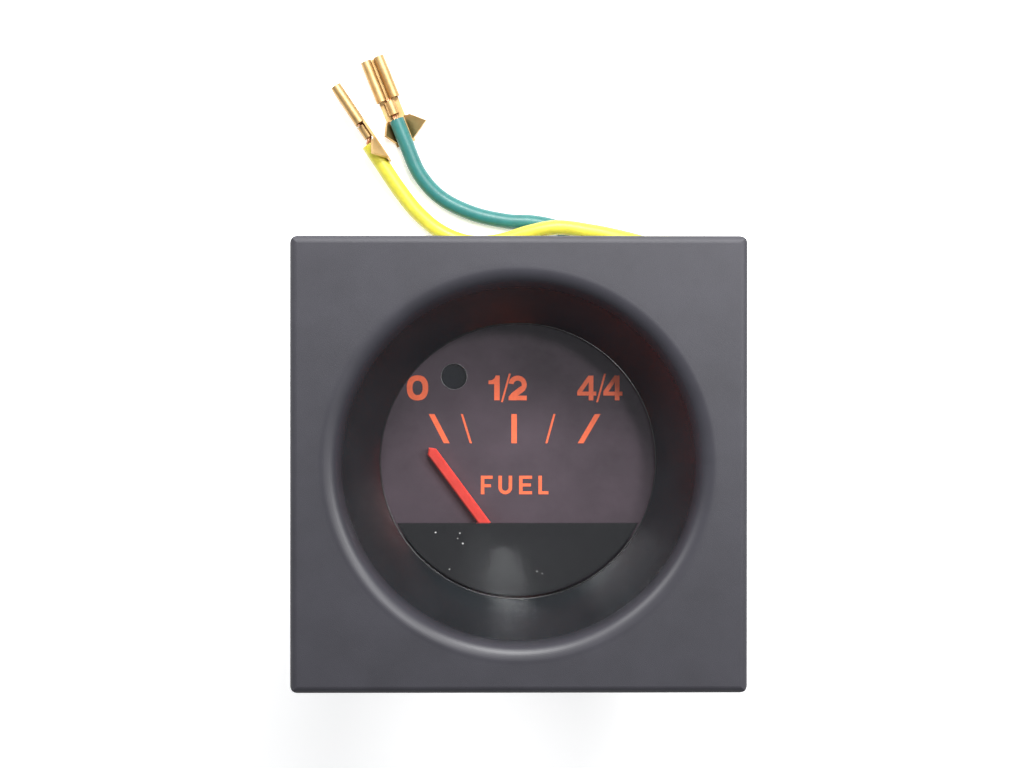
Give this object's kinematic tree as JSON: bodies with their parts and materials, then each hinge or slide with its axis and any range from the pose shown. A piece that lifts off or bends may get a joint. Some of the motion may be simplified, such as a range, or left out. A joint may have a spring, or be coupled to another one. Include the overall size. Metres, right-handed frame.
{
  "type": "fuel gauge",
  "caption": "Dashboard fuel gauge with a square black bezel, a deep round recess, a pointer under a half-moon mask, a round can behind and two flying leads with blade receptacles.",
  "frame": {"origin": "centre of the panel hole, in the plane where the bezel's rear edge rests on the dashboard", "axes": "+Z out of the dial's face, +Y towards the top of the dial, +X to the reader's right; the can points along -Z"},
  "size_m": [0.0626, 0.0932, 0.059],
  "materials": {
    "bezel_plastic": "fine-grained matte moulding",
    "clear_lens": "clear polished acrylic",
    "black_rubber": "soft matte",
    "black_plastic": "satin moulding",
    "gloss_black": "polished moulding",
    "dial_paint": "flat dark paint with orange print",
    "smoked_window": "dark tinted, polished",
    "bright_steel": "bright zinc plate",
    "white_plastic": "satin moulding",
    "plate_brass": "rolled sheet and turned rod",
    "copper_wire": "enamelled fine wire, layer wound",
    "ruby_jewel": "polished",
    "brown_board": "laminated phenolic",
    "tab_brass": "stamped sheet, slightly tarnished",
    "resistor_ceramic": "matte coated",
    "yellow_insulation": "soft vinyl sheath",
    "green_insulation": "soft vinyl sheath",
    "orange_pointer": "translucent fluorescent acrylic",
    "grey_magnet": "ground sintered magnet",
    "holder_plastic": "satin moulding",
    "bulb_glass": "clear blown glass"
  },
  "bodies": {
    "gauge": {"bezel": "bezel_plastic", "lens": "clear_lens", "lens_gasket": "black_rubber", "spacer_ring": "black_plastic", "pivot_mask": "gloss_black", "dial_plate": "dial_paint", "warning_window": "smoked_window", "dial_screws": "bright_steel", "pointer_stops": "bright_steel", "light_box": "white_plastic", "front_bridge": "plate_brass", "rear_bridge": "plate_brass", "bridge_pillars": "plate_brass", "pillar_screws": "bright_steel", "former_front": "white_plastic", "former_rear": "white_plastic", "inner_winding": "copper_wire", "outer_winding": "copper_wire", "front_jewel": "ruby_jewel", "rear_jewel": "ruby_jewel", "can": "black_plastic", "bezel_screws": "bright_steel", "mounting_studs": "bright_steel", "terminal_block": "brown_board", "block_rivets": "bright_steel", "supply_tab": "tab_brass", "sender_tab": "tab_brass", "warning_tab": "tab_brass", "ballast_resistor": "resistor_ceramic", "circuit_board": "brown_board", "board_screws": "bright_steel", "grommet": "black_rubber", "yellow_lead": "yellow_insulation", "green_lead": "green_insulation", "yellow_receptacle": "tab_brass", "green_receptacle": "tab_brass"},
    "pointer_assembly": {"pointer": "orange_pointer", "pointer_hub": "black_plastic", "balance_weight": "plate_brass", "spindle": "bright_steel", "magnet_rotor": "grey_magnet"},
    "warning_lamp": {"warning_holder": "holder_plastic", "warning_contacts": "tab_brass", "warning_bulb": "bulb_glass"},
    "dial_lamp": {"dial_lamp_holder": "holder_plastic", "dial_lamp_contacts": "tab_brass", "dial_lamp_bulb": "bulb_glass"}
  },
  "joints": [
    {"name": "pointer_sweep", "type": "hinge", "parent": "gauge", "child": "pointer_assembly", "pos_m": [0, -0.0149, -0.005], "axis": [0, 0, -1], "range_deg": [0, 72]},
    {"name": "warning_holder_turn", "type": "hinge", "parent": "gauge", "child": "warning_lamp", "pos_m": [-0.0088, 0.0115, -0.04], "axis": [0, 0, -1], "range_deg": [0, 45]},
    {"name": "dial_lamp_holder_turn", "type": "hinge", "parent": "gauge", "child": "dial_lamp", "pos_m": [0.0088, 0.0115, -0.04], "axis": [0, 0, -1], "range_deg": [0, 45]}
  ]
}
